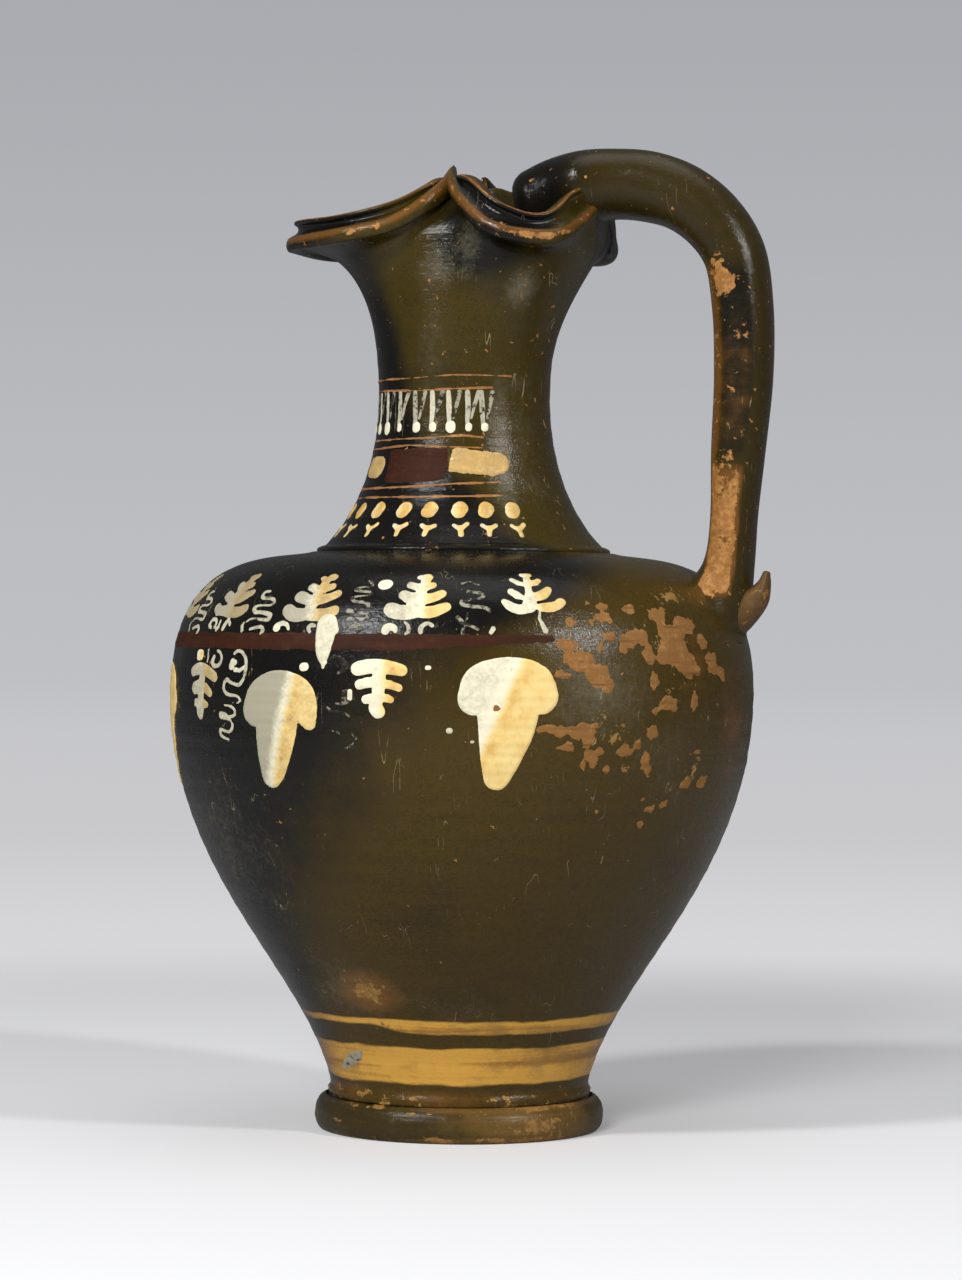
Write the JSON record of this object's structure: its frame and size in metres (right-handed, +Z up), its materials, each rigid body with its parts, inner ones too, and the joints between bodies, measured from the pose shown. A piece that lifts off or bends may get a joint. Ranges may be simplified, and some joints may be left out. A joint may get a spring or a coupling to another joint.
{
  "type": "trefoil oinochoe",
  "caption": "Wheel-thrown pottery wine jug with a pinched three-lobed mouth, an egg-shaped body on a disc foot, one high strap handle and painted vine ornament.",
  "frame": {"origin": "centre of the foot's flat resting face, on the axis of the foot and body", "axes": "+Z up along the jug's axis, -X towards the spout, +X towards the handle"},
  "size_m": [0.1601, 0.154, 0.2575],
  "materials": {
    "black_slip": "black to olive-brown gloss slip, worn and flaked",
    "olive_slip": "thin olive-brown gloss slip, worn to the clay",
    "worn_slip": "worn brown-black slip",
    "bare_clay": "matt orange earthenware",
    "cream_slip": "matt added white slip, cream",
    "golden_slip": "matt dilute golden wash over white slip",
    "maroon_slip": "matt added red slip, maroon"
  },
  "bodies": {
    "root": {"disc_foot": "worn_slip", "vessel_body": "black_slip", "trefoil_neck": "black_slip", "handle": "olive_slip", "handle_spur": "bare_clay"}
  },
  "joints": []
}
